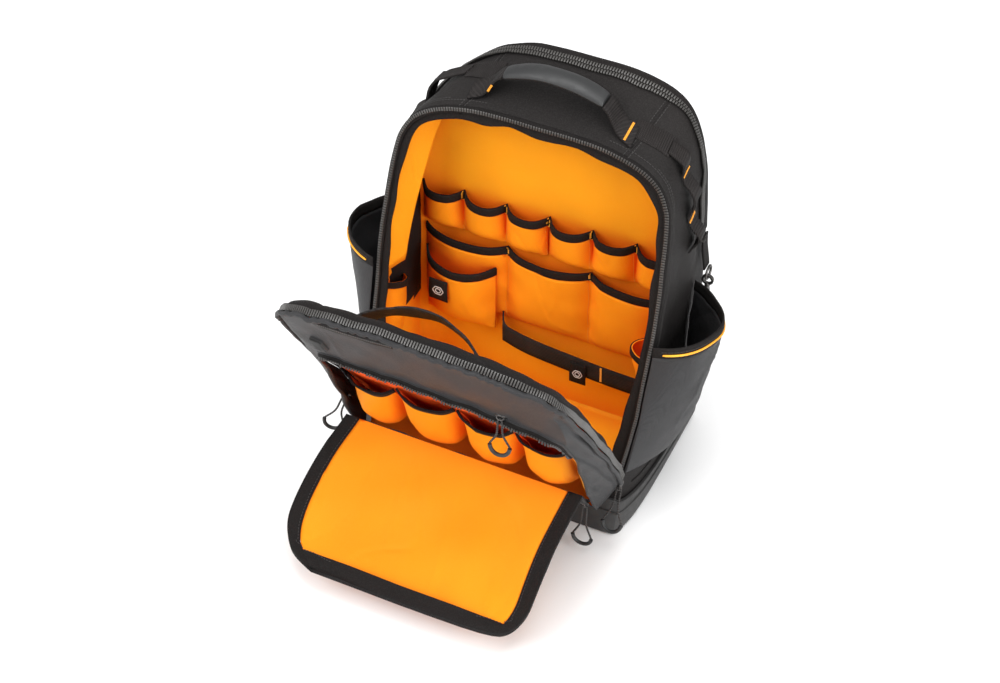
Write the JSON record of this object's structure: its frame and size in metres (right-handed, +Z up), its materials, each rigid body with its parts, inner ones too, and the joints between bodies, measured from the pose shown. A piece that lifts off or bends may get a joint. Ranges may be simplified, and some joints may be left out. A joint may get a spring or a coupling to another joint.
{
  "type": "tool backpack",
  "caption": "Upright open-top tool backpack with a fold-down front door, tool pockets, front flap, moulded base, side pockets, carrying handle and padded back.",
  "frame": {"origin": "middle of the flat underside of the moulded base", "axes": "+Z up, -Y out of the front door, +X to the right as seen from the front"},
  "size_m": [0.4422, 0.4703, 0.492],
  "materials": {
    "fabric": "coated woven cloth",
    "tape": "woven tape",
    "zip_chain": "ribbed coil",
    "moulded_base": "matte",
    "padding": "spacer mesh",
    "webbing": "ribbed webbing",
    "grip_rubber": "satin",
    "cord": "braided cord",
    "dark_metal": "satin",
    "lining": "coated orange cloth",
    "deep_lining": "coated red-orange cloth"
  },
  "bodies": {
    "root": {"body_shell": "fabric", "lining": "lining", "front_frame": "tape", "front_zip": "zip_chain", "rear_zip": "zip_chain", "base_boot": "moulded_base", "back_panel": "padding", "shoulder_strap_left": "padding", "strap_webbing_left": "webbing", "shoulder_strap_right": "padding", "strap_webbing_right": "webbing", "handle_grip": "grip_rubber", "handle_webbing_left": "webbing", "handle_webbing_right": "webbing", "side_webbing_left": "webbing", "side_webbing_right": "webbing", "side_pocket_left": "fabric", "side_pocket_binding_left": "tape", "side_pocket_right": "fabric", "side_pocket_binding_right": "tape", "pocket_row_upper_left": "lining", "pocket_row_upper_right": "lining", "pocket_row_upper_binding": "tape", "pocket_row_middle": "lining", "pocket_row_middle_binding": "tape", "pocket_low": "lining", "pocket_low_binding": "tape", "pocket_tag": "tape", "strap_tag": "tape", "tool_strap": "webbing", "wall_pocket_left": "lining", "wall_pocket_right": "lining", "wall_panel_left": "lining", "door_board": "deep_lining", "door_zip": "zip_chain", "door_tray": "fabric", "door_facing": "tape", "tray_base": "fabric", "door_loop": "webbing", "tool_pocket_1": "lining", "tool_pocket_binding_1": "tape", "tool_pocket_2": "lining", "tool_pocket_binding_2": "tape", "tool_pocket_3": "lining", "tool_pocket_binding_3": "tape", "tool_pocket_4": "lining", "tool_pocket_binding_4": "tape", "front_flap": "lining", "flap_binding": "tape", "pull_bow_main_right": "grip_rubber", "pull_cord_main_right": "cord", "pull_bow_front_right": "grip_rubber", "pull_cord_front_right": "cord", "pull_bow_front_left": "grip_rubber", "pull_cord_front_left": "cord", "pull_bow_tray": "grip_rubber", "pull_cord_tray": "cord", "hook_tab": "webbing", "hook_ring": "dark_metal", "snap_hook": "dark_metal"}
  },
  "joints": []
}
